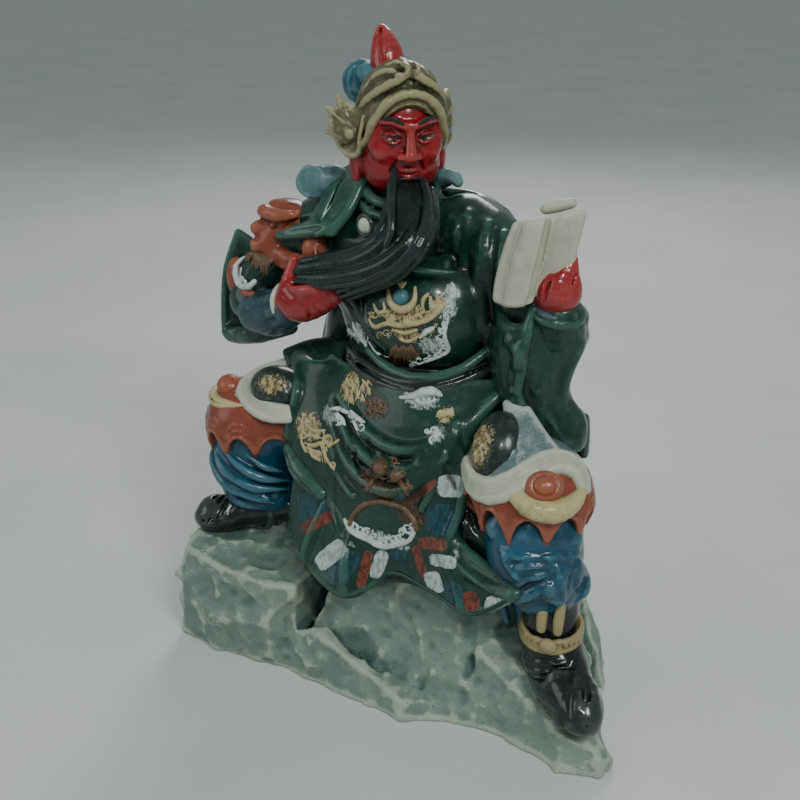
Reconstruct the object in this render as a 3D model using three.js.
// A seated warrior figure, reading on a rock: one painted casting, rock and figure together.
// Millimetres, +Z up, front towards -Y, origin at the middle of the underside.
// The figure is worked like clay: each form is pressed onto or cut from one field of samples,
// and the skin of that field is then meshed and thinned to one closed faceted solid.
import * as THREE from "three";
import { edgeTable, triTable } from "three/addons/objects/MarchingCubes.js";

// Driving sizes of the whole casting
const LENGTH = 201;
const DEPTH = 123;
const HEIGHT = 258;

// How finely it is worked
const CELL = 1.6; // spacing of the samples
const TRIANGLES = 9000; // faces kept of the skin
const CLOTH = 4.4; // thickness of free cloth
const SLIT = 4.5; // hollows narrower than this are filled, as they are in a casting

const range = (n) => Array.from({ length: n }, (_, i) => i);
const radians = (degrees) => (degrees * Math.PI) / 180;
const mix = (a, b, t) => a.map((v, i) => v + (b[i] - v) * t);
const shift = (a, b) => a.map((v, i) => v + (b[i] ?? 0));

// Seeded random numbers from 0 to 1
function dice(seed) {
  let state = seed * 7919 + 17;
  return () => {
    state = (state * 16807) % 2147483647;
    return state / 2147483647;
  };
}

// `count` knots along a smooth line through the given ones, whatever each knot holds
function through(knots, count) {
  const last = knots.length - 1;
  return range(count).map((i) => {
    const s = (i / (count - 1)) * last;
    const k = Math.min(Math.floor(s), last - 1);
    const t = s - k;
    const [a, b, c, d] = [k - 1, k, k + 1, k + 2].map((j) => knots[Math.min(Math.max(j, 0), last)]);
    return b.map((_, n) => {
      const bend = 2 * a[n] - 5 * b[n] + 4 * c[n] - d[n];
      const twist = 3 * (b[n] - c[n]) + d[n] - a[n];
      return b[n] + 0.5 * t * (c[n] - a[n] + t * (bend + t * twist));
    });
  });
}

// A smooth sheet of `rows` by `columns` points through a small grid of them; `wave` pleats it
function surface(grid, rows, columns, wave = () => [0, 0, 0]) {
  const across = grid.map((row) => through(row, columns));
  const down = range(columns).map((j) => through(across.map((row) => row[j]), rows));
  return range(rows).map((i) =>
    range(columns).map((j) => shift(down[j][i], wave(j / (columns - 1), i / (rows - 1)))),
  );
}

// A form is a list of parts { low, high, at }: a box, and the distance to the part's skin

function part(points, margin, at) {
  const low = [0, 1, 2].map((i) => Math.min(...points.map((p) => p[i])) - margin);
  const high = [0, 1, 2].map((i) => Math.max(...points.map((p) => p[i])) + margin);
  return { low, high, at };
}

// A limb, strand or fold: balls [x, y, z, radius] joined one to the next
function limb(...knots) {
  return knots.slice(1).map((b, i) => {
    const a = knots[i];
    const [dx, dy, dz, dr] = b.map((v, n) => v - a[n]);
    const inverse = 1 / (dx * dx + dy * dy + dz * dz || 1);
    return part([a, b], Math.max(a[3], b[3]), (x, y, z) => {
      const px = x - a[0];
      const py = y - a[1];
      const pz = z - a[2];
      const t = Math.min(1, Math.max(0, (px * dx + py * dy + pz * dz) * inverse));
      return Math.hypot(px - t * dx, py - t * dy, pz - t * dz) - a[3] - t * dr;
    });
  });
}

const curved = (knots, count = 9) => limb(...through(knots, count));

// A form made at the origin, turned by [x, y, z] degrees and moved to `place`
function placed(form, place, turn = [0, 0, 0]) {
  const m = new THREE.Matrix4().makeRotationFromEuler(new THREE.Euler(...turn.map(radians), "ZYX"));
  const e = m.elements;
  return form.map(({ low, high, at }) => {
    const corners = range(8).map((i) => {
      const corner = new THREE.Vector3(...low.map((v, k) => ((i >> k) & 1 ? high[k] : v)));
      return shift(corner.applyMatrix4(m).toArray(), place);
    });
    return part(corners, 0, (x, y, z) => {
      const px = x - place[0];
      const py = y - place[1];
      const pz = z - place[2];
      return at(
        e[0] * px + e[1] * py + e[2] * pz,
        e[4] * px + e[5] * py + e[6] * pz,
        e[8] * px + e[9] * py + e[10] * pz,
      );
    });
  });
}

// An egg of radii [x, y, z]
function blob(centre, radii, turn) {
  const [a, b, c] = radii;
  const egg = part([radii, radii.map((r) => -r)], 0, (x, y, z) => {
    const near = Math.hypot(x / a, y / b, z / c);
    const slope = Math.hypot(x / a ** 2, y / b ** 2, z / c ** 2);
    return slope ? (near * (near - 1)) / slope : -Math.min(a, b, c);
  });
  return placed([egg], centre, turn);
}

// A block of half sizes [x, y, z] with rounded edges
function block(centre, half, round, turn) {
  const box = part([half, half.map((h) => -h)], 0, (x, y, z) => {
    const qx = Math.abs(x) - half[0] + round;
    const qy = Math.abs(y) - half[1] + round;
    const qz = Math.abs(z) - half[2] + round;
    const out = Math.hypot(Math.max(qx, 0), Math.max(qy, 0), Math.max(qz, 0));
    return out + Math.min(Math.max(qx, qy, qz), 0) - round;
  });
  return placed([box], centre, turn);
}

// A round band: ring of radius `wide` across X and `deep` across Y, with an oval section
function ring(centre, wide, deep, section, turn, from = 0, to = 360) {
  const count = 24;
  const knots = range(count + 1).map((i) => {
    const a = radians(from + ((to - from) * i) / count);
    return [wide * Math.cos(a), deep * Math.sin(a), 0, section];
  });
  return placed(limb(...knots), centre, turn);
}

// A stone standing on `outline` (corners [x, y], anticlockwise), with sides that lean in by
// `lean` and a top that passes through height `top` at its middle and climbs by [x, y]
function crag(outline, top, climb, lean) {
  const middle = [0, 1].map((i) => outline.reduce((sum, p) => sum + p[i], 0) / outline.length);
  const sides = outline.map((a, i) => {
    const b = outline[(i + 1) % outline.length];
    const long = Math.hypot(b[0] - a[0], b[1] - a[1]);
    const tilt = Math.hypot(1, lean);
    return [(b[1] - a[1]) / long / tilt, (a[0] - b[0]) / long / tilt, lean / tilt, a];
  });
  const level = Math.hypot(climb[0], climb[1], 1);
  const highest = top + 60 * Math.hypot(...climb);
  const corners = outline.flatMap(([x, y]) => [[x, y, -1], [x, y, highest]]);
  return [
    part(corners, 0, (x, y, z) => {
      let d = (z - top - climb[0] * (x - middle[0]) - climb[1] * (y - middle[1])) / level;
      for (const [nx, ny, nz, a] of sides) d = Math.max(d, nx * (x - a[0]) + ny * (y - a[1]) + nz * z);
      return d;
    }),
  ];
}

// One three-cornered piece of cloth
function facet(a, b, c, half) {
  const minus = (p, q) => [p[0] - q[0], p[1] - q[1], p[2] - q[2]];
  const dot = (p, q) => p[0] * q[0] + p[1] * q[1] + p[2] * q[2];
  const ab = minus(b, a);
  const ac = minus(c, a);
  const long = dot(ab, ab);
  const across = dot(ab, ac);
  const wide = dot(ac, ac);
  const area = long * wide - across * across || 1e-9;
  const edges = [[a, b], [b, c], [c, a]].map(([p, q]) => {
    const e = minus(q, p);
    return [p, e, 1 / (dot(e, e) || 1)];
  });
  return part([a, b, c], half, (x, y, z) => {
    const p = [x - a[0], y - a[1], z - a[2]];
    const s = dot(p, ab);
    const t = dot(p, ac);
    const u = (wide * s - across * t) / area;
    const v = (long * t - across * s) / area;
    if (u >= 0 && v >= 0 && u + v <= 1) {
      const off = p.map((w, k) => w - u * ab[k] - v * ac[k]);
      return Math.hypot(...off) - half;
    }
    let least = Infinity;
    for (const [o, e, inverse] of edges) {
      const q = [x - o[0], y - o[1], z - o[2]];
      const w = Math.min(1, Math.max(0, dot(q, e) * inverse));
      least = Math.min(least, Math.hypot(q[0] - w * e[0], q[1] - w * e[1], q[2] - w * e[2]));
    }
    return least - half;
  });
}

// A sheet of cloth through rows of points
function cloth(rows, thickness = CLOTH) {
  const form = [];
  for (let i = 0; i + 1 < rows.length; i++)
    for (let j = 0; j + 1 < rows[i].length; j++) {
      form.push(facet(rows[i][j], rows[i][j + 1], rows[i + 1][j], thickness / 2));
      form.push(facet(rows[i + 1][j + 1], rows[i + 1][j], rows[i][j + 1], thickness / 2));
    }
  return form;
}

// Strands laid side by side from one edge line to the other
function strands(first, last, count, steps = 9) {
  return range(count).flatMap((i) => {
    const t = i / (count - 1);
    return curved(first.map((knot, k) => mix(knot, last[k], t)), steps);
  });
}

// The lump of clay: distances sampled on a grid
class Clay {
  constructor(low, high, cell) {
    this.cell = cell;
    this.low = low.map((v) => v - 2.37 * cell); // so that no flat face falls on the samples
    this.size = high.map((v, i) => Math.ceil((v - this.low[i]) / cell) + 3);
    this.value = new Float32Array(this.size[0] * this.size[1] * this.size[2]).fill(1e3);
  }

  // The samples from corner `low` to corner `high`, as index ranges
  span(low, high, margin) {
    return low.map((v, i) => [
      Math.max(0, Math.floor((v - margin - this.low[i]) / this.cell)),
      Math.min(this.size[i] - 1, Math.ceil((high[i] + margin - this.low[i]) / this.cell)),
    ]);
  }

  // Changes each sample near a form by its distance to the nearest part of the form
  work(form, margin, change) {
    const low = [0, 1, 2].map((i) => Math.min(...form.map((p) => p.low[i])));
    const high = [0, 1, 2].map((i) => Math.max(...form.map((p) => p.high[i])));
    const whole = this.span(low, high, margin);
    const wide = whole.map(([a, b]) => b - a + 1);
    const near = new Float32Array(wide[0] * wide[1] * wide[2]).fill(1e3);
    const at = (i, axis) => this.low[axis] + i * this.cell;
    for (const piece of form) {
      const [xs, ys, zs] = this.span(piece.low, piece.high, margin);
      for (let k = zs[0]; k <= zs[1]; k++)
        for (let j = ys[0]; j <= ys[1]; j++) {
          const row = ((k - whole[2][0]) * wide[1] + j - whole[1][0]) * wide[0] - whole[0][0];
          for (let i = xs[0]; i <= xs[1]; i++) {
            const d = piece.at(at(i, 0), at(j, 1), at(k, 2));
            if (d < near[row + i]) near[row + i] = d;
          }
        }
    }
    let n = 0;
    for (let k = whole[2][0]; k <= whole[2][1]; k++)
      for (let j = whole[1][0]; j <= whole[1][1]; j++)
        for (let i = whole[0][0]; i <= whole[0][1]; i++, n++) {
          const m = (k * this.size[1] + j) * this.size[0] + i;
          if (near[n] < 1e3) this.value[m] = change(this.value[m], near[n]);
        }
    return this;
  }

  // Presses a form on, with a fillet of about `blend` where it meets the clay
  add(form, blend = 0.8) {
    return this.work(form, blend + 2 * this.cell, (a, b) => {
      const near = Math.max(blend - Math.abs(a - b), 0) / blend;
      return Math.min(a, b) - (near * near * blend) / 4;
    });
  }

  // Carves a form away
  cut(form, blend = 0.8) {
    return this.work(form, blend + 2 * this.cell, (a, b) => {
      const near = Math.max(blend - Math.abs(a + b), 0) / blend;
      return Math.max(a, -b) + (near * near * blend) / 4;
    });
  }

  // Weathers the whole skin by lumps of about `size`, up to `depth` in or out
  weather(size, depth, seed) {
    const random = dice(seed);
    const wide = 19;
    const lumps = range(wide ** 3).map(() => 2 * random() - 1);
    const lump = (i, j, k) => lumps[((k % wide) * wide + (j % wide)) * wide + (i % wide)];
    const [nx, ny] = this.size;
    const ease = (t) => t * t * (3 - 2 * t);
    this.value.forEach((d, n) => {
      if (Math.abs(d) > 3 * depth + this.cell) return;
      const at = [n % nx, Math.floor(n / nx) % ny, Math.floor(n / nx / ny)];
      const g = at.map((v) => (v * this.cell) / size);
      const [i, j, k] = g.map(Math.floor);
      const [u, v, w] = g.map((t) => ease(t - Math.floor(t)));
      const along = (b, c) => lump(i, j + b, k + c) * (1 - u) + lump(i + 1, j + b, k + c) * u;
      const level = (c) => along(0, c) * (1 - v) + along(1, c) * v;
      this.value[n] = d + depth * (level(0) * (1 - w) + level(1) * w);
    });
    return this;
  }

  // Fills the hollows and slits that a ball of this radius can't reach from outside
  seal(radius) {
    const { value, size, cell } = this;
    const [nx, ny, nz] = size;
    const open = new Uint8Array(value.length);
    const stack = [0];
    open[0] = 1;
    while (stack.length) {
      const n = stack.pop();
      const [i, j, k] = [n % nx, Math.floor(n / nx) % ny, Math.floor(n / nx / ny)];
      const next = [i > 0 && n - 1, i + 1 < nx && n + 1, j > 0 && n - nx, j + 1 < ny && n + nx];
      next.push(k > 0 && n - nx * ny, k + 1 < nz && n + nx * ny);
      for (const m of next)
        if (m !== false && !open[m] && value[m] > radius) {
          open[m] = 1;
          stack.push(m);
        }
    }
    const reach = Math.ceil(radius / cell + 1);
    const steps = range((2 * reach + 1) ** 3).map((i) => {
      const side = 2 * reach + 1;
      const corner = [i % side, Math.floor(i / side) % side, Math.floor(i / side / side)];
      const [x, y, z] = corner.map((v) => v - reach);
      return [x + (y + z * ny) * nx, Math.hypot(x, y, z) * cell];
    });
    const ball = steps.filter(([, far]) => far < radius + cell).map(([n]) => n);
    value.forEach((d, n) => {
      if (d > 0 && d <= radius && !ball.some((m) => open[n + m])) value[n] = -cell / 2;
      if (d > radius && !open[n]) value[n] = -cell / 2;
    });
    return this;
  }
}

// The forms, in the order they are worked. "Right" and "left" are the figure's own.

function pressRock(clay) {
  const stones = [
    // outline, height, climb, lean
    // block
    [
      [[-99, -54], [-76, -58], [-48, -57], [-38, -51], [-36, 12], [-50, 54], [-88, 54], [-98, 20]],
      45, [-0.1, 0.06], 0.03,
    ],
    [[[-41, -50], [36, -52], [58, -34], [62, 0], [-42, 4]], 52, [0.02, 0.28], 0.3], // ledge under the hem
    [[[-44, -55], [-4, -58], [24, -57], [30, -40], [-40, -38]], 38, [0.04, 0.3], 0.7], // step below it
    // foot of the front
    [[[-50, -54], [-8, -59.5], [18, -62.5], [31, -50], [-46, -44]], 18, [-0.28, 0.1], 0.2],
    [[[14, -58], [30, -54], [57, -51], [54, -38], [20, -40]], 31, [0.15, 0.3], 0.35],
    // tongue
    [
      [[36, -49], [57, -53.5], [82, -57.5], [97, -54], [100, -46], [84, -18], [72, 4], [30, 8], [30, -40]],
      27, [-0.3, 0.45], 0.25,
    ],
    [[[44, -12], [70, -8], [72, 2], [62, 24], [44, 50], [24, 56]], 56, [0, -0.4], 0.12],
    [[[-99, 10], [-84, 4], [-62, 46], [-66, 59], [-92, 56]], 32, [0.2, -0.1], 0.25],
    [[[-20, 48], [30, 46], [36, 58], [-4, 60]], 40, [0.15, -0.3], 0.2],
    [[[56, 6], [82, -4], [70, 30], [50, 54]], 34, [-0.2, -0.2], 0.3],
    // seat
    [
      [[-74, -12], [-40, -28], [40, -28], [56, -12], [58, 20], [42, 57], [-78, 58], [-84, 10]], 72,
      [0, 0.05], 0.1,
    ],
  ];
  for (const stone of stones) clay.add(crag(...stone), 2);
  const cracks = [
    [[-43, -60, 40], [-46, -61, 20], [-49, -60, 2]],
    [[-97, -57, 34], [-74, -61, 31], [-50, -59, 28]],
    [[-92, -57, 24], [-80, -60, 14], [-84, -59, 2]],
    [[-44, -58, 30], [-10, -61, 24], [26, -61, 9]],
    [[4, -60, 22], [16, -58, 30], [34, -56, 24]],
    [[30, -62, 2], [38, -58, 16], [56, -48, 27]],
    [[-99, -20, 30], [-99, 8, 22], [-96, 40, 30]],
    [[-60, 60, 2], [-54, 60, 34], [-62, 58, 66]],
    [[-50, 61, 40], [-10, 61, 30], [34, 60, 38]],
    [[86, -20, 4], [76, 2, 20], [66, 24, 30]],
  ];
  for (const crack of cracks) clay.cut(curved(crack.map((p) => [...p, 1.9]), 7), 3);
}

// Trousers, with the boots and the guards over the knees
function pressRightLeg(clay) {
  clay.add(curved([[-20, 8, 98, 24], [-50, -5, 100, 22], [-72, -14, 97, 20.5], [-80, -18, 93, 19]], 7), 3);
  clay.add(curved([[-79, -19, 84, 17.5], [-78, -20, 74, 17], [-70, -20, 64, 12]], 5), 3);
  for (const [x, y, z] of [[-93, -27, 76], [-85, -35, 74], [-73, -37, 74]])
    clay.add(curved([[x, y, z + 10, 2], [x, y, z - 3, 3.2], [-70, -26, 60, 2]], 5), 2.5);
  clay.add(curved([[-62, -19, 57, 7], [-78, -26, 54, 7], [-93, -33, 52, 8.4]], 6), 1);
  clay.add(ring([-73, -24, 55], 7.6, 8, 1.6, [90, 0, -28]), 1);
}

function pressLeftLeg(clay) {
  clay.add(curved([[-4, 6, 100, 24], [26, -12, 106, 22], [48, -27, 103, 21], [57, -33, 98, 20]], 7), 3);
  clay.add(curved([
    [59, -34, 90, 18.5], [60, -36, 80, 19.5], [63, -37, 70, 16.5], [66, -35, 63, 12],
  ], 6), 3);
  const gather = [70, -53, 74];
  const rim = [
    [46, -46, 74], [53, -53, 66], [64, -52, 60], [76, -46, 60], [80, -38, 68], [79, -38, 82],
    [71, -50, 88],
  ];
  for (const p of rim)
    clay.add(curved([[...gather, 2.5], [...mix(gather, p, 0.6), 4.2], [...p, 2.4]], 5), 2);
  clay.add(curved([[53, -26, 66, 6], [54, -28, 54, 6], [57, -30, 44, 5]], 5), 2);
  clay.add(curved([[67, -33, 62, 10.5], [68, -35, 46, 10.5], [70, -37, 35, 11.5]], 5), 1);
  clay.add(curved([[71, -37, 34, 11.5], [78, -44, 29, 11], [86, -50, 26, 9.5]], 5), 2);
  clay.add(ring([69, -36, 46], 11.6, 12, 2.6, [6, 0, 10]), 1);
  for (const x of [66, 71, 76]) clay.add(limb([x, -46, 60, 2], [x - 0.5, -48, 48, 2]), 1);
  for (const x of [-4, 0, 4])
    clay.cut(curved([
      [86 + x, -44 + x, 38, 1], [88 + x, -54 + x, 33, 1.2], [91 + x, -60 + x, 25, 1],
    ], 5), 1);
}

function pressKneeGuards(clay) {
  const guards = [
    { centre: [-80, -19, 95], radius: 19.4, drop: 20, from: 150, to: 330, tabs: 7 },
    { centre: [58, -33, 99], radius: 21.6, drop: 22, from: 195, to: 385, tabs: 8 },
  ];
  for (const { centre, radius, drop, from, to, tabs } of guards) {
    clay.add(blob(centre, [radius, radius, radius * 0.92]), 1.5);
    for (const i of range(tabs)) {
      const a = radians(from + ((to - from) * i) / (tabs - 1));
      const at = (reach, down, r) => [
        centre[0] + reach * Math.cos(a),
        centre[1] + reach * Math.sin(a),
        centre[2] - down,
        r,
      ];
      clay.add(limb(at(radius - 3.5, 3, 5), at(radius - 2.5, 11, 4.2), at(radius - 0.5, drop, 1.3)), 1.2);
    }
  }
  // bands, plates and bosses over the knees
  clay.add(blob([-64, -21, 114], [12, 7, 8.5], [-35, 10, 20]), 1);
  clay.add(curved([
    [-75, -14, 117, 2.2], [-79, -26, 110, 2.8], [-70, -34, 105, 2.6], [-58, -30, 108, 2],
  ], 8), 1.2);
  clay.add(blob([-88, -24, 108], [6, 5.5, 5], [0, 30, 20]), 1);
  clay.add(blob([46, -37, 115], [9, 7, 14], [-30, 0, 10]), 1);
  clay.add(curved([
    [35, -43, 106, 2], [41, -51, 103, 2.8], [53, -54, 106, 3], [60, -49, 114, 2.6],
    [62, -38, 118, 2.4],
  ], 9), 1.2);
  clay.add(blob([68, -49, 110], [6.4, 5, 5.4], [20, 0, 30]), 0.8);
  clay.add(curved([
    [57, -54, 107, 1.8], [63, -55.5, 103, 3.2], [71, -52, 102, 3.8], [77, -44, 104, 2],
  ], 9), 0.8);
}

function pressBody(clay) {
  // robe gathered between the legs and over the seat
  clay.add(limb([-46, 2, 62, 18], [-50, 6, 86, 20]), 4);
  clay.add(limb([38, -6, 64, 18], [40, -2, 92, 20]), 4);
  clay.add(blob([-1, -10, 119], [39, 24.5, 17]), 4);
  clay.add(curved([[-10, 10, 96, 30], [-8, 6, 118, 27], [-9, 4, 140, 26]], 5), 4);
  clay.add(blob([-10, 1, 152], [31, 21, 30], [0, 0, 14]), 5);
  clay.add(blob([-15, 4, 176], [33, 19, 19], [-6, 0, 12]), 6);
  clay.add(limb([-16, 3, 186, 13], [-16, 1, 200, 11]), 4);
  clay.add(limb([-34, -6, 162, 13], [-50, -6, 170, 9]), 3);
  // belly guard with its hem
  clay.add(blob([4, -12, 154], [27, 18, 23], [4, 0, 16]), 2);
  clay.add(curved([
    [-29, -8, 150, 1.6], [-18, -22, 138, 2], [4, -29, 133, 2.2], [24, -24, 139, 2],
    [33, -8, 150, 1.6],
  ], 9), 1);
  // belt
  clay.add(curved([
    [-38, -2, 130, 3.6], [-24, -20, 130, 4], [0, -29, 129, 4.6], [20, -24, 133, 4],
    [32, -6, 138, 3.6],
  ], 9), 2);
  // collar
  for (const [z, wide] of [[198, 13.5], [193.5, 15]])
    clay.add(ring([-15, -2, z], wide, wide, 2.1, [14, 0, 30]), 1);
  clay.add(blob([-20, -21, 187.5], [3.6, 2.6, 3.6]), 0.8);
}

function pressBellyMask(clay) {
  // a place on the round belly guard, `out` in front of it
  const at = (x, z, out = 0) => {
    const back = Math.hypot(x * 0.55, (z - 154) * 0.62) ** 2 * 0.022;
    return [4 + x * 0.96, -30.2 - out + back + x * 0.26, z];
  };
  const line = (points, r) => clay.add(curved(points.map(([x, z, out]) => [...at(x, z, out), r]), 9), 0.8);
  line([[-6, 168], [-5, 163], [0, 160], [6, 163], [7, 168]], 1.7);
  line([[-16, 160], [-10, 156], [-3, 158]], 1.9);
  line([[17, 160], [11, 156], [4, 158]], 1.9);
  line([[-13, 151], [-6, 149, 1], [0, 152, 2], [7, 149, 1], [14, 151]], 2.2);
  line([[-9, 145], [0, 146, 1.5], [9, 145]], 1.8);
  for (const x of [-5, -1.6, 1.6, 5]) line([[x, 143, 0.5], [x * 1.2, 136]], 1.5);
  line([[-24, 150], [-20, 147], [-17, 149]], 1.5);
  line([[22, 152], [21, 146], [17, 143]], 1.5);
}

function pressSkirt(clay) {
  clay.add(limb([-22, -12, 92, 22], [14, -18, 92, 24]), 4);
  clay.add(limb([-26, -18, 62, 16], [22, -24, 64, 18]), 4);
  clay.add(limb([-37, -21, 80, 13], [-12, -26, 76, 15], [16, -27, 76, 15.5], [38, -28, 74, 13]), 4);
  const grid = [
    [
      [-42, -12, 127], [-30, -20, 127], [-14, -27, 127], [0, -31, 128], [14, -29, 129],
      [24, -24, 131], [34, -18, 132],
    ],
    [
      [-47, -21, 114], [-34, -27, 115], [-14, -34, 115], [3, -38, 115], [18, -37, 116],
      [26, -33, 119], [31, -29, 122],
    ],
    [
      [-47, -27, 97], [-33, -33, 98], [-14, -39, 97], [3, -42, 97], [17, -41, 99], [26, -39, 101],
      [31, -36, 101],
    ],
    [
      [-49, -30, 78], [-34, -35, 78], [-16, -41, 78], [0, -44, 78], [14, -44, 80], [25, -44, 79],
      [30, -43, 79],
    ],
    [
      [-50, -32, 66], [-34, -41, 62], [-14, -47, 61], [2, -44, 65], [20, -45, 67], [36, -48, 67],
      [49, -49, 71],
    ],
    [
      [-49, -35, 58], [-30, -48, 50], [-10, -53, 47], [4, -43, 57], [24, -47, 57], [44, -53, 56],
      [61, -53, 68],
    ],
  ];
  clay.add(cloth(surface(grid, 13, 25), CLOTH + 0.6), 1.5);
  const under = [
    [[-14, -42, 66], [4, -38, 68], [22, -40, 68], [44, -44, 68]],
    [[-10, -45, 49], [6, -37, 50], [24, -41, 51], [46, -46, 52]],
  ];
  clay.add(cloth(surface(under, 5, 9)), 1.5);
  const folds = [
    // hanging swags
    [
      [-27, -32, 121, 1.6], [-12, -39, 113, 2.4], [4, -43, 109, 2.6], [18, -41, 112, 2.4],
      [27, -35, 121, 1.6],
    ],
    [
      [-29, -33, 117, 1.6], [-14, -41, 105, 2.4], [4, -45, 101, 2.8], [18, -43, 105, 2.4],
      [27, -37, 117, 1.6],
    ],
    [[-30, -34, 111, 1.6], [-16, -42, 97, 2.4], [0, -46, 92, 2.6], [13, -45, 96, 2.4], [25, -41, 110, 1.6]],
    [[-29, -36, 100, 1.6], [-22, -40, 90, 2], [-14, -44, 85, 1.6]],
    [[35, -22, 129, 1.8], [22, -38, 114, 2.2], [12, -45, 96, 2.2], [7, -46, 87, 1.4]],
    [[36, -24, 128, 1.6], [27, -36, 115, 2.2], [22, -43, 98, 2], [18, -46, 88, 1.4]],
    // turned edges
    [
      [38, -22, 130, 1.8], [31.5, -31, 121, 2], [30, -36, 111, 2], [32, -39.5, 100, 2],
      [32.5, -43, 89, 2], [30, -46, 79, 2], [34, -49, 71, 2], [46, -52, 68, 2], [60, -54, 67, 1.8],
    ],
    [
      [-33, -27, 117, 1.6], [-31, -34, 101, 1.8], [-28, -38, 86, 1.8], [-26, -40, 77, 1.8],
      [-20, -44, 70, 1.6],
    ],
    // folds down to the hem
    [[-30, -40, 76, 1.4], [-34, -45, 62, 2.4], [-36, -47, 53, 2]],
    [[-14, -46, 68, 1.4], [-13, -52, 58, 2.6], [-12, -54, 48, 2.4]],
    [[24, -46, 76, 1.6], [34, -50, 66, 2.4], [40, -54, 56, 2.4]],
  ];
  for (const fold of folds) clay.add(curved(fold, 11), 3);
  clay.add(ring([-1, -45.5, 76], 15.5, 10.5, 2.3, [98, 0, 0]), 1.5);
  clay.add(curved([
    [-16, -46, 73, 2], [-9, -49, 67, 3], [0, -50, 65.5, 3], [8, -49.5, 69, 3], [15, -47, 74, 2],
  ], 9), 1);
  clay.add(blob([0, -46, 93], [5, 4, 5]), 1);
  // tufts and clouds on the apron
  clay.add(blob([-16, -33, 124], [6, 3.4, 7], [0, 25, -14]), 1);
  clay.add(curved([[5, -38, 123, 1.8], [12, -39, 122, 3], [20, -35, 125, 2.4]], 5), 1);
  clay.add(blob([22, -37, 117], [4.5, 3, 3.4]), 1);
}

// The side flap over the right thigh and the corner of the coat behind it
function pressFlap(clay) {
  const flap = [
    [[-62, -8, 123], [-52, -15, 124], [-40, -16, 126]],
    [[-57, -23, 110], [-48, -26, 110], [-36, -26, 112]],
    [[-54, -28, 96], [-45, -32, 96], [-32, -34, 98]],
    [[-52, -29, 86], [-43, -34, 83], [-32, -37, 82]],
  ];
  clay.add(cloth(surface(flap, 9, 7)), 2);
  clay.add(curved([[-53, -30, 91, 3], [-44, -35, 85, 4.6], [-32, -38, 79, 3.2]], 7), 2);
  clay.add(curved([
    [-60, -12, 121, 1.8], [-52, -24, 117, 2.4], [-52, -29, 106, 2], [-54, -30, 97, 1.6],
  ], 7), 2);
  for (const x of [-48, -43, -38])
    clay.add(curved([[x + 3, -29, 110, 1.4], [x - 3, -31, 103, 1.8], [x + 3, -34, 95, 1.3]], 5), 1);
  const corner = [
    [[-70, -5, 123], [-59, -2, 128], [-46, 3, 130]],
    [[-66, -8, 120], [-55, -10, 122], [-42, -9, 124]],
  ];
  clay.add(cloth(surface(corner, 4, 5)), 2);
}

function pressRightArm(clay) {
  clay.add(curved([[-44, 2, 182, 14], [-64, -3, 174, 12], [-80, -7, 158, 9.5], [-84, -9, 148, 9]], 7), 4);
  clay.add(curved([[-84, -10, 145, 9], [-74, -14, 143, 9.5], [-60, -19, 149, 8.5]], 5), 3);
  // beast's head over the shoulder, with its mane and the band below
  clay.add(blob([-64, -6, 181], [13, 10, 9.5], [0, 18, 10]), 2);
  clay.add(blob([-70, -10, 174], [8, 8, 8]), 2);
  clay.add(curved([[-70, -12, 171, 5], [-61, -15, 168, 4.4], [-52, -18, 168, 3.4]], 5), 1.2);
  clay.add(blob([-47, -16, 174], [5, 5, 6.5], [0, 20, 0]), 1.5);
  clay.add(blob([-66, -14.5, 180], [2.4, 2, 2.2]), 0.6);
  for (const [x, z] of [[-80, 168], [-76, 164], [-71, 162]])
    clay.add(limb([x, -9, z + 2, 4], [x - 4, -13, z - 6, 2.4]), 1);
  clay.add(ring([-79, -9, 157], 11, 11, 1.8, [-8, -38, 0]), 0.8);
  // the open end of the sleeve
  const flare = [
    [[-93, -4, 173], [-87, -4, 170], [-80, -5, 165]],
    [[-96, -7, 158], [-90, -4, 156], [-82, -3, 152]],
    [[-97, -9, 143], [-91, -5, 140], [-82, -4, 138]],
    [[-97, -11, 129], [-89, -12, 128], [-76, -13, 132]],
  ];
  clay.add(cloth(surface(flare, 9, 7), 3.6), 2);
  clay.add(curved([[-94, -12, 130, 3.6], [-78, -14, 133, 4], [-62, -13, 138, 3]], 5), 2.5);
  clay.add(ring([-61, -19, 150], 9, 9, 1.7, [0, 76, -20]), 0.8);
  // hand
  clay.add(curved([[-57, -20, 152, 7], [-48, -23, 155, 7.4], [-38, -25, 159, 5.6]], 5), 1.5);
  clay.add(curved([[-53, -23, 158, 4.6], [-52, -23, 164, 3.2], [-51.5, -23, 170, 2]], 4), 1.5);
  for (const t of [0, 1, 2])
    clay.cut(limb([-47 + 4 * t, -31, 150 + 2 * t, 0.8], [-45 + 4 * t, -32, 160 + t, 0.8]), 0.8);
}

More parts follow.
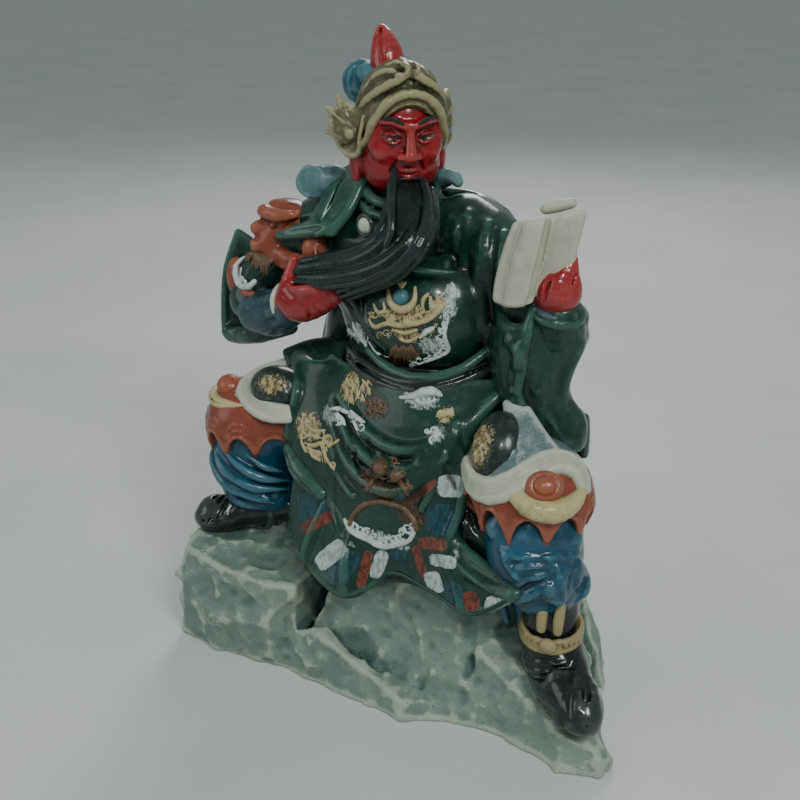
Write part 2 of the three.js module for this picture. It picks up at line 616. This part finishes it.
function pressLeftArm(clay) {
  clay.add(curved([[10, 5, 184, 14], [30, 0, 174, 14.5], [46, -5, 154, 14], [52, -6, 140, 13]], 7), 4);
  clay.add(curved([[54, -9, 140, 12.5], [58, -15, 154, 10.5], [59, -21, 164, 8]], 5), 3);
  clay.add(curved([[53, -9, 142, 13], [53, -8, 128, 12], [60, -9, 117, 8]], 6), 3);
  const fall = [
    [[34, -15, 160], [42, -25, 158], [54, -27, 160], [66, -17, 162], [60, 0, 160]],
    [[32, -15, 144], [40, -24, 142], [52, -25, 141], [60, -12, 144], [56, 4, 144]],
    [[34, -16, 133], [42, -24, 131], [51, -24, 129], [59, -11, 133], [55, 6, 130]],
    [[39, -20, 129], [47, -25, 124], [56, -23, 117], [66, -12, 119], [58, 5, 118]],
    [[42, -21, 128], [49, -25, 121], [58, -22, 113], [67, -12, 112], [58, 4, 112]],
  ];
  clay.add(cloth(surface(fall, 13, 15)), 2);
  const folds = [
    [[24, -10, 186, 2], [30, -14, 172, 2.6], [32, -17, 156, 2.2], [38, -23, 140, 1.8]],
    [[14, -12, 186, 1.8], [22, -17, 172, 2.4], [26, -18, 158, 1.6]],
    [[52, -26, 166, 1.6], [49, -28, 152, 2.2], [47, -27, 136, 2], [52, -27, 122, 1.4]],
    [[60, -24, 158, 1.6], [58, -24, 144, 2], [57, -22, 130, 2], [64, -18, 116, 1.6]],
    [[45, -24, 130, 1.8], [53, -26, 121, 2.2], [60, -22, 112, 1.8]],
  ];
  for (const fold of folds) clay.add(curved(fold, 9), 3);
  clay.add(ring([59, -21, 165], 8.6, 8.6, 1.5, [14, 10, 0]), 0.8);
  // hand
  clay.add(blob([60, -24, 175], [8, 7.5, 11], [8, 6, 20]), 1.2);
  for (const t of [0, 1, 2])
    clay.cut(limb([54 + 4 * t, -33, 170 + t, 0.7], [58 + 4 * t, -31, 182 + t, 0.7]), 0.8);
}

function pressBook(clay) {
  const left = [
    [[46.5, -30, 196], [52, -33.5, 198], [57.5, -31, 199.5]],
    [[43, -31, 183], [49, -34.5, 185], [55, -32, 186]],
    [[41.5, -32, 171], [46.5, -35, 171], [52, -33, 172]],
  ];
  const right = [
    [[57.5, -31, 199.5], [62, -29.5, 201], [66.5, -25, 202]],
    [[55, -31.5, 186], [59.5, -29, 187], [64, -25, 188]],
    [[52.5, -31.5, 174], [57, -28, 175], [62, -25, 177]],
  ];
  clay.add(cloth(surface(left, 5, 5), 4.6), 0.4);
  clay.add(cloth(surface(right, 5, 5), 4), 0.4);
  clay.add(curved([[52, -24, 202, 2.6], [58, -22, 204, 2.8], [64, -21, 204.5, 2.4]], 5), 0.6);
}

// The head's own place and its turn; the features stand between the brim and the beard
const HEAD = [-16.5, -1, 218.5];
const HEAD_TURN = [12, 0, 42];
const FEATURES_UP = 4.2;

const onHead = (form) => placed(form, HEAD, HEAD_TURN);
const onFace = (form) => placed(form, shift(HEAD, [0, 0, FEATURES_UP]), HEAD_TURN);
const both = (make) => [-1, 1].flatMap(make);
// knots on the head's left side, mirrored and run on over the brow
const arched = (side) => [...side.map(([x, ...rest]) => [-x, ...rest]).reverse(), ...side.slice(1)];

function pressHelmet(clay) {
  clay.add(onHead(blob([0, 2, 8.5], [16.6, 19.5, 19.5])), 1);
  clay.add(onHead(both((s) => blob([s * 14.6, 2, 1], [3, 8, 9]))), 3);
  clay.cut(onHead(limb([0, -24, -20, 14.4], [0, -24, 6.5, 14])), 0.6);
  clay.add(onHead(blob([0, -2.6, 19.5], [12.4, 10.4, 9])), 2);
  const brim = [
    [0, -14.2, 21, 1.9], [7.4, -13.8, 18.4, 1.9], [12.4, -12.6, 11.6, 1.8], [14.8, -10, 4, 1.6],
    [15.6, -6, -1, 1.4],
  ];
  clay.add(onHead(curved(arched(brim), 17)), 1);
  const ridge = [
    [0, -10.6, 27.4, 2], [5, -11.6, 25, 1.8], [10.4, -9.6, 21, 1.7], [14.4, -5.4, 16, 1.6],
    [16.6, 0, 9, 1.4],
  ];
  clay.add(onHead(curved(arched(ridge), 13)), 1.2);
}

function pressFace(clay) {
  clay.add(onFace(blob([0, 0, -0.6], [14.8, 17, 19.4])), 0.4);
  clay.add(onHead(blob([0, -3.6, -8.5], [14.4, 13, 13])), 3);
  clay.add(onHead(both((s) => blob([s * 9.4, -4, -7], [6.6, 9.4, 10]))), 3);
  clay.add(onFace(limb([0, -16.4, 5, 1.6], [0, -20, -4.8, 2.5])), 1.6);
  clay.add(onFace(both((s) => blob([s * 3, -17.8, -5.8], [1.9, 2, 1.6]))), 1);
  clay.cut(onFace(both((s) => blob([s * 6.2, -19, 1.6], [4, 2.8, 2.6], [0, s * 8, 0]))), 1.6);
  clay.add(onFace(both((s) => blob([s * 6.2, -14.6, 1], [3.4, 2.6, 2.2]))), 0.6);
  clay.add(onFace(both((s) => limb([s * 2.6, -17, 5.8, 1.2], [s * 10.6, -13.8, 7.4, 1.3]))), 0.8);
  clay.add(onFace(limb([-3, -16.8, -12, 1.2], [3, -16.8, -12, 1.2])), 0.8);
  clay.add(onHead(both((s) => blob([s * 16, 1.4, -10], [3, 5, 8.6]))), 1);
}

// A spiked wing over the right ear, a plain flap over the left
function pressEarGuards(clay) {
  const wing = [
    [[-15, -3, 10], [-19, 0, 10.5], [-22, 4, 11]],
    [[-16, -4, 4], [-21, -1.4, 4], [-25.4, 3, 4]],
    [[-15, -4, -3], [-18.6, -2.4, -5], [-21.6, 1.4, -3]],
  ];
  clay.add(onHead(cloth(surface(wing, 5, 5), 3.6)), 1.5);
  for (const [x, z, root] of [[-23.6, 14.6, 8], [-27.4, 9.6, 6], [-27, 0.6, 1]])
    clay.add(onHead(limb([-20, 1, root, 2.8], [x, 5, z, 1])), 1);
  clay.add(onHead(blob([-19.8, -3.5, 3], [2.8, 2.4, 3])), 0.8);
  const flap = [
    [[15, 0, 12], [17.4, 3, 14], [19, 7, 14]],
    [[16, -2, 2], [18.6, 2, 2], [20.6, 6, 2]],
    [[15, -2, -6], [17, 1, -7], [19, 5, -6]],
  ];
  clay.add(onHead(cloth(surface(flap, 5, 5), 3.2)), 1.5);
}

function pressCap(clay) {
  clay.add(blob([-38, 10, 236], [8.4, 8, 9], [0, -15, 0]), 1.5);
  clay.add(curved([
    [-25, 5, 243, 6.4], [-26, 6, 247, 6.4], [-28, 7.5, 252, 4.6], [-29.5, 8.5, 256, 2.2],
  ], 7), 0.8);
}

function pressBeard(clay) {
  const upper = [
    [-7, -19, 203, 2.6], [-8, -26, 192, 3.2], [-12, -30, 181, 3.6], [-26, -28, 172, 3.4],
    [-42, -26, 168, 2.8], [-54, -24, 166, 1.8],
  ];
  const lower = [
    [8, -20, 205, 2.6], [15, -29, 193, 3.2], [11, -34, 179, 3.8], [-8, -34, 164, 3.6],
    [-34, -30, 161, 3], [-46, -28, 160, 1.8],
  ];
  clay.add(strands(upper, lower, 7, 12), 1.1);
  clay.add(curved([
    [14, -26, 200, 1.6], [21, -29, 186, 2.4], [19, -33, 172, 2.8], [2, -34, 161, 2.6],
    [-24, -31, 156, 1.6],
  ], 12), 1);
  clay.add(curved([
    [-7, -19.5, 211, 1.6], [-9.5, -22, 205, 2.2], [-10.5, -25, 195, 2.2], [-12, -28, 186, 1.6],
  ], 8), 0.8);
  clay.add(curved([
    [6, -22, 213, 1.6], [11, -23, 207, 2.4], [15, -25, 198, 2.4], [17, -28, 190, 1.8],
  ], 8), 0.8);
}

function pressScarf(clay) {
  const band = [
    [[-42, 5, 203.4], [-35, 2, 203], [-28, -6, 203]],
    [[-45, -4, 199], [-37, -8, 199], [-28.6, -11, 199]],
    [[-45, -11, 192.4], [-38, -15, 191.5], [-30, -17, 191]],
    [[-46, -16.4, 186.4], [-41, -19.6, 184.4], [-35, -21, 183]],
  ];
  clay.add(cloth(surface(band, 11, 6), 3.6), 1.5);
  clay.add(curved([
    [-38, -20, 184, 3], [-48, -18.6, 182, 3.2], [-56, -18.4, 180, 2.7], [-63, -17.4, 178, 1.8],
  ], 7), 2);
  // the rolled ends behind the shoulders
  clay.add(curved([[-52.4, -7, 198.4, 5.4], [-49.4, -5, 199.6, 6.4], [-45, -2, 200.4, 5]], 5), 1.5);
  clay.add(curved([[-6, 12, 201, 4.4], [1, 8.6, 203, 3.2], [5, 6.6, 201.6, 2]], 5), 2);
}

function pressCape(clay) {
  clay.add(blob([-9, 14, 134], [38, 18, 44]), 4);
  clay.add(blob([-6, 20, 96], [48, 24, 28]), 4);
  clay.add(blob([-7, 32, 86], [50, 17, 20]), 4);
  clay.add(limb([30, 8, 160, 12], [38, 10, 128, 16], [44, 10, 104, 14]), 4);
  clay.add(limb([-42, 6, 164, 9], [-48, 12, 130, 11], [-52, 14, 106, 13]), 4);
  const fall = [
    [[-44, 8, 188], [-30, 16, 192], [-12, 20, 194], [8, 18, 194], [22, 12, 190]],
    [[-50, 10, 160], [-36, 22, 160], [-12, 27, 160], [16, 25, 160], [42, 14, 158]],
    [[-60, 10, 124], [-42, 30, 122], [-10, 37, 122], [26, 32, 122], [58, 10, 124]],
    [[-62, 20, 98], [-46, 40, 92], [-10, 47, 90], [30, 41, 92], [59, 16, 106]],
    [[-60, 28, 82], [-48, 46, 72], [-12, 53, 70], [32, 46, 72], [57, 24, 92]],
  ];
  const pleats = (u, v) => [0, 3.2 * v * Math.cos(radians(360 * (4 * u + 0.3 * v))), 0];
  clay.add(cloth(surface(fall, 14, 29, pleats)), 3);
}

function pressFigure(clay) {
  pressCape(clay);
  pressBody(clay);
  pressRightLeg(clay);
  pressLeftLeg(clay);
  pressKneeGuards(clay);
  pressSkirt(clay);
  pressFlap(clay);
  pressBellyMask(clay);
  pressRightArm(clay);
  pressLeftArm(clay);
  pressScarf(clay);
  pressHelmet(clay);
  pressFace(clay);
  pressEarGuards(clay);
  pressCap(clay);
  pressBeard(clay);
  pressBook(clay);
}

// The skin of the clay: one vertex on each crossed edge of the grid, joined as the tables say
function skin({ value, low, cell, size }) {
  const [nx, ny, nz] = size;
  const step = [1, nx, nx * ny];
  const corners = [[0, 0, 0], [1, 0, 0], [0, 1, 0], [1, 1, 0], [0, 0, 1], [1, 0, 1], [0, 1, 1], [1, 1, 1]];
  const bits = [1, 2, 8, 4, 16, 32, 128, 64];
  // the twelve edges of a cell as [corner, axis], in the order of the tables
  const edges = [
    [0, 0], [1, 1], [2, 0], [0, 1], [4, 0], [5, 1], [6, 0], [4, 1], [0, 2], [1, 2], [3, 2], [2, 2],
  ];
  const made = new Map();
  const points = [];
  const faces = [];
  const vertex = (place, [corner, axis]) => {
    const at = shift(place, corners[corner]);
    const n = (at[2] * ny + at[1]) * nx + at[0];
    const key = n * 3 + axis;
    if (!made.has(key)) {
      const t = value[n] / (value[n] - value[n + step[axis]]);
      at[axis] += Math.min(0.98, Math.max(0.02, t));
      made.set(key, points.length);
      points.push(at.map((v, m) => low[m] + v * cell));
    }
    return made.get(key);
  };
  for (let k = 0; k + 1 < nz; k++)
    for (let j = 0; j + 1 < ny; j++)
      for (let i = 0; i + 1 < nx; i++) {
        const n = (k * ny + j) * nx + i;
        let mask = 0;
        for (let m = 0; m < 8; m++)
          if (value[n + (m & 1) + ((m >> 1) & 1) * nx + (m >> 2) * step[2]] < 0) mask |= bits[m];
        if (!edgeTable[mask]) continue;
        for (let m = mask * 16; triTable[m] !== -1; m += 3)
          faces.push([0, 2, 1].map((q) => vertex([i, j, k], edges[triTable[m + q]])));
      }
  return { points, faces };
}

// Keeps only the largest piece of a mesh
function largest({ points, faces }) {
  const root = points.map((_, i) => i);
  const find = (i) => {
    while (root[i] !== i) i = root[i] = root[root[i]];
    return i;
  };
  for (const [a, b, c] of faces) {
    root[find(a)] = find(b);
    root[find(b)] = find(c);
  }
  const count = new Map();
  for (const [a] of faces) count.set(find(a), (count.get(find(a)) ?? 0) + 1);
  const best = [...count].sort((a, b) => b[1] - a[1])[0][0];
  return { points, faces: faces.filter(([a]) => find(a) === best) };
}

// A heap of edges, cheapest first
class Heap {
  constructor() {
    this.items = [];
  }
  push(item) {
    const { items } = this;
    let i = items.length;
    items.push(item);
    while (i) {
      const up = (i - 1) >> 1;
      if (items[up].cost <= item.cost) break;
      items[i] = items[up];
      i = up;
    }
    items[i] = item;
  }
  pop() {
    const { items } = this;
    const top = items[0];
    const item = items.pop();
    if (!items.length) return top;
    let i = 0;
    for (;;) {
      let down = 2 * i + 1;
      if (down >= items.length) break;
      if (down + 1 < items.length && items[down + 1].cost < items[down].cost) down++;
      if (items[down].cost >= item.cost) break;
      items[i] = items[down];
      i = down;
    }
    items[i] = item;
    return top;
  }
}

// Thins a closed mesh to `target` faces, merging first the edges whose loss shows least
function thin({ points, faces }, target) {
  const around = points.map(() => []);
  const quadric = points.map(() => new Float64Array(10));
  const age = new Uint32Array(points.length);
  const gone = new Uint8Array(faces.length);
  const cross = (a, b, c) => {
    const [ux, uy, uz] = [b[0] - a[0], b[1] - a[1], b[2] - a[2]];
    const [vx, vy, vz] = [c[0] - a[0], c[1] - a[1], c[2] - a[2]];
    return [uy * vz - uz * vy, uz * vx - ux * vz, ux * vy - uy * vx];
  };
  faces.forEach((face, f) => {
    const n = cross(...face.map((v) => points[v]));
    const area = Math.hypot(...n) || 1e-9;
    const [a, b, c] = n.map((v) => v / area);
    const d = -(a * points[face[0]][0] + b * points[face[0]][1] + c * points[face[0]][2]);
    const terms = [a * a, a * b, a * c, a * d, b * b, b * c, b * d, c * c, c * d, d * d];
    for (const v of face) {
      around[v].push(f);
      terms.forEach((t, i) => (quadric[v][i] += t * area));
    }
  });
  const heap = new Heap();
  const offer = (a, b) => {
    const q = quadric[a].map((v, i) => v + quadric[b][i]);
    const [xx, xy, xz, xd, yy, yz, yd, zz, zd, dd] = q;
    const error = ([x, y, z]) =>
      x * (xx * x + 2 * (xy * y + xz * z + xd)) +
      y * (yy * y + 2 * (yz * z + yd)) +
      z * (zz * z + 2 * zd) +
      dd;
    const [p, r] = [points[a], points[b]];
    const choices = [mix(p, r, 0.5), p, r];
    const det = xx * (yy * zz - yz * yz) - xy * (xy * zz - yz * xz) + xz * (xy * yz - yy * xz);
    if (Math.abs(det) > 1e-4 * Math.abs(xx * yy * zz)) {
      const best = [
        (-xd * (yy * zz - yz * yz) + yd * (xy * zz - xz * yz) - zd * (xy * yz - xz * yy)) / det,
        (xd * (xy * zz - yz * xz) - yd * (xx * zz - xz * xz) + zd * (xx * yz - xz * xy)) / det,
        (-xd * (xy * yz - yy * xz) + yd * (xx * yz - xy * xz) - zd * (xx * yy - xy * xy)) / det,
      ];
      const long = Math.hypot(p[0] - r[0], p[1] - r[1], p[2] - r[2]);
      if (Math.hypot(best[0] - p[0], best[1] - p[1], best[2] - p[2]) < 2 * long) choices.unshift(best);
    }
    let place = choices[0];
    for (const c of choices) if (error(c) < error(place) - 1e-9) place = c;
    const length2 = (p[0] - r[0]) ** 2 + (p[1] - r[1]) ** 2 + (p[2] - r[2]) ** 2;
    heap.push({ cost: error(place) + 1e-5 * length2, a, b, place, q, ages: [age[a], age[b]] });
  };
  const neighbours = (v) => new Set(around[v].flatMap((f) => faces[f]).filter((w) => w !== v));
  faces.forEach(([a, b, c]) => [[a, b], [b, c], [c, a]].forEach(([p, r]) => p < r && offer(p, r)));
  let left = faces.length;
  while (left > target && heap.items.length) {
    const { a, b, place, q, ages } = heap.pop();
    if (age[a] !== ages[0] || age[b] !== ages[1]) continue;
    const shared = [...neighbours(a)].filter((v) => neighbours(b).has(v));
    if (shared.length !== 2) continue;
    const either = [...around[a], ...around[b]];
    const kept = either.filter((f) => !(faces[f].includes(a) && faces[f].includes(b)));
    const turned = kept.some((f) => {
      const was = faces[f].map((v) => points[v]);
      const is = faces[f].map((v) => (v === a || v === b ? place : points[v]));
      const [n, m] = [cross(...was), cross(...is)];
      const [long, wide] = [Math.hypot(...n), Math.hypot(...m)];
      return n[0] * m[0] + n[1] * m[1] + n[2] * m[2] < 0.25 * long * wide || wide < 1e-3;
    });
    if (turned) continue;
    for (const f of around[b]) {
      if (faces[f].includes(a)) {
        gone[f] = 1;
        left--;
        for (const v of faces[f]) if (v !== b) around[v] = around[v].filter((g) => g !== f);
      } else {
        faces[f] = faces[f].map((v) => (v === b ? a : v));
        around[a].push(f);
      }
    }
    around[b] = [];
    points[a] = place;
    quadric[a] = q;
    age[a]++;
    age[b]++;
    for (const v of neighbours(a)) offer(a, v);
  }
  return { points, faces: faces.filter((_, f) => !gone[f]) };
}

// The room that the forms above need, before they are set to the driving sizes
const ROOM_LOW = [-108, -68, 0];
const ROOM_HIGH = [106, 64, 262];

const clay = new Clay(ROOM_LOW, ROOM_HIGH, CELL);
pressRock(clay);
clay.weather(17, 1.6, 5).weather(7, 0.7, 8);
pressFigure(clay);
clay.seal(SLIT / 2);
clay.cut(block([0, 0, -50], [200, 200, 50], 0), 0.001);

const { points, faces } = thin(largest(skin(clay)), TRIANGLES);
const used = [...new Set(faces.flat())];
const order = new Map(used.map((v, i) => [v, i]));
const raw = new THREE.BufferGeometry();
raw.setAttribute("position", new THREE.Float32BufferAttribute(used.flatMap((v) => points[v]), 3));
raw.setIndex(faces.flat().map((v) => order.get(v)));

// Set the casting to its driving sizes, standing on its underside
raw.computeBoundingBox();
const box = raw.boundingBox;
const middle = box.getCenter(new THREE.Vector3());
const full = box.getSize(new THREE.Vector3());
raw.translate(-middle.x, -middle.y, -box.min.z);
raw.scale(LENGTH / full.x, DEPTH / full.y, HEIGHT / full.z);
const place = raw.attributes.position;
const FLAT = 0.05; // corners this close to the underside lie on it
for (let i = 0; i < place.count; i++) if (Math.abs(place.getZ(i)) < FLAT) place.setZ(i, 0);
raw.computeVertexNormals();

const statue = new THREE.Mesh(raw, new THREE.MeshStandardMaterial({ color: 0x2c4a3c, roughness: 0.35 }));
statue.name = "statue";
const group = new THREE.Group();
group.add(statue);

export default group;
